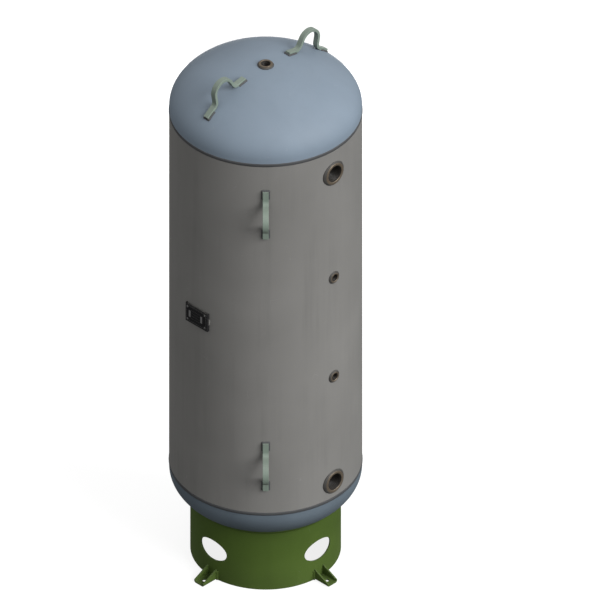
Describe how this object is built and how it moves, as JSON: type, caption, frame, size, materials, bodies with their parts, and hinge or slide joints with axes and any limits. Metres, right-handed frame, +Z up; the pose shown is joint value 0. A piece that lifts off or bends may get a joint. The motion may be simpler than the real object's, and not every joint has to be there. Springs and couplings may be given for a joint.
{
  "type": "vertical air receiver tank",
  "caption": "Upright welded compressed-air receiver with domed heads on a round skirt, with foot clips, lifting lugs, pipe couplings and a blank data plate.",
  "frame": {"origin": "on the vessel's axis at floor level, in the centre of the anchor bolt circle", "axes": "+Z up along the vessel's axis, +X towards the row of side couplings, -Y towards the data plate"},
  "size_m": [0.6167, 0.6184, 1.9011],
  "materials": {
    "shell_paint": "satin",
    "shell_weld": "satin",
    "head_paint": "satin",
    "head_weld": "satin",
    "girth_weld": "satin",
    "skirt_paint": "satin",
    "skirt_weld": "satin",
    "foot_paint": "satin",
    "lug_paint": "satin",
    "coupling_steel": "turned",
    "bracket_paint": "satin",
    "data_plate": "satin",
    "rivet_metal": "satin"
  },
  "bodies": {
    "root": {"shell": "shell_paint", "shell_seam_weld": "shell_weld", "top_head": "head_paint", "bottom_head": "head_paint", "upper_girth_weld": "girth_weld", "lower_girth_weld": "girth_weld", "base_skirt": "skirt_paint", "skirt_seam_weld": "skirt_weld", "skirt_weld": "skirt_weld", "right_foot": "foot_paint", "right_foot_welds": "skirt_weld", "rear_foot": "foot_paint", "rear_foot_welds": "skirt_weld", "left_foot": "foot_paint", "left_foot_welds": "skirt_weld", "front_foot": "foot_paint", "front_foot_welds": "skirt_weld", "front_head_lug": "lug_paint", "front_head_lug_welds": "head_weld", "rear_head_lug": "lug_paint", "rear_head_lug_welds": "head_weld", "upper_side_lug": "lug_paint", "upper_side_lug_welds": "shell_weld", "lower_side_lug": "lug_paint", "lower_side_lug_welds": "shell_weld", "upper_main_coupling": "coupling_steel", "upper_main_coupling_weld": "shell_weld", "lower_main_coupling": "coupling_steel", "lower_main_coupling_weld": "shell_weld", "upper_gauge_coupling": "coupling_steel", "upper_gauge_coupling_weld": "shell_weld", "lower_gauge_coupling": "coupling_steel", "lower_gauge_coupling_weld": "shell_weld", "top_coupling": "coupling_steel", "top_coupling_weld": "head_weld", "drain_coupling": "coupling_steel", "drain_coupling_weld": "head_weld", "plate_bracket": "bracket_paint", "bracket_welds": "shell_weld", "data_plate": "data_plate", "plate_rivets": "rivet_metal"}
  },
  "joints": []
}
